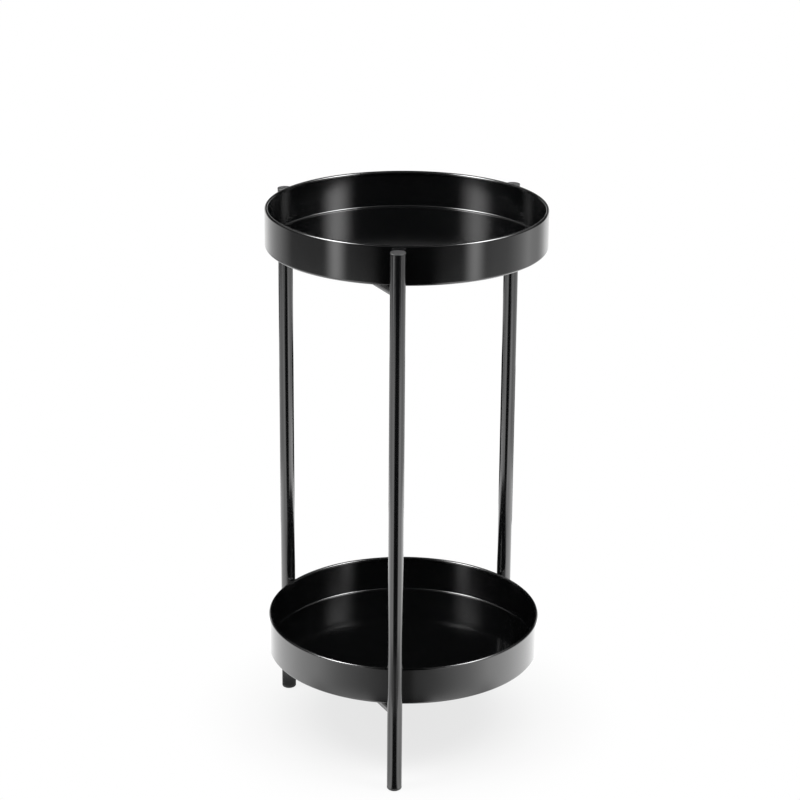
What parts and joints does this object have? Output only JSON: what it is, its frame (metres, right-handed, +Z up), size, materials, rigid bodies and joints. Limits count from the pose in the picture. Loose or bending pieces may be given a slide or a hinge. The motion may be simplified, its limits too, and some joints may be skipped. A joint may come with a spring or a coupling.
{
  "type": "plant stand",
  "caption": "Round tiered plant stand: loose metal trays rest on a folding tube frame whose rear leg swings flat for storage.",
  "frame": {"origin": "on the floor plane under the feet, on the common axis of the two trays", "axes": "+Z up along the legs, X along the cross bars, +Y from the cross bars towards the swing leg"},
  "size_m": [0.3, 0.3116, 0.604],
  "materials": {
    "frame_coat": "semi-gloss black powder coat on steel tube",
    "tray_coat": "semi-gloss black powder coat on sheet steel",
    "plug": "moulded black plastic, satin",
    "fastener": "zinc-plated steel",
    "nylon": "natural nylon"
  },
  "bodies": {
    "two_leg_frame": {"front_leg": "frame_coat", "rear_leg": "frame_coat", "upper_cross_bar": "frame_coat", "lower_cross_bar": "frame_coat", "upper_pivot_lug": "frame_coat", "lower_pivot_lug": "frame_coat", "upper_pivot_bolt": "fastener", "lower_pivot_bolt": "fastener", "upper_pivot_washer": "nylon", "lower_pivot_washer": "nylon", "upper_pivot_nut": "fastener", "lower_pivot_nut": "fastener", "front_leg_cap": "plug", "rear_leg_cap": "plug", "front_leg_foot": "plug", "rear_leg_foot": "plug"},
    "swing_frame": {"swing_leg": "frame_coat", "upper_swing_arm": "frame_coat", "lower_swing_arm": "frame_coat", "swing_leg_cap": "plug", "swing_leg_foot": "plug"},
    "upper_tray": {"upper_tray": "tray_coat"},
    "lower_tray": {"lower_tray": "tray_coat"}
  },
  "joints": [
    {"name": "swing_leg_fold", "type": "hinge", "parent": "two_leg_frame", "child": "swing_frame", "pos_m": [0, -0.06525, 0.3237], "axis": [0, 0, 1], "range_deg": [-102, 78]},
    {"name": "upper_tray_lift", "type": "slide", "parent": "two_leg_frame", "child": "upper_tray", "axis": [0, 0, 1], "range_m": [0, 0.12]},
    {"name": "lower_tray_lift", "type": "slide", "parent": "two_leg_frame", "child": "lower_tray", "axis": [0, 0, 1], "range_m": [0, 0.4]}
  ]
}
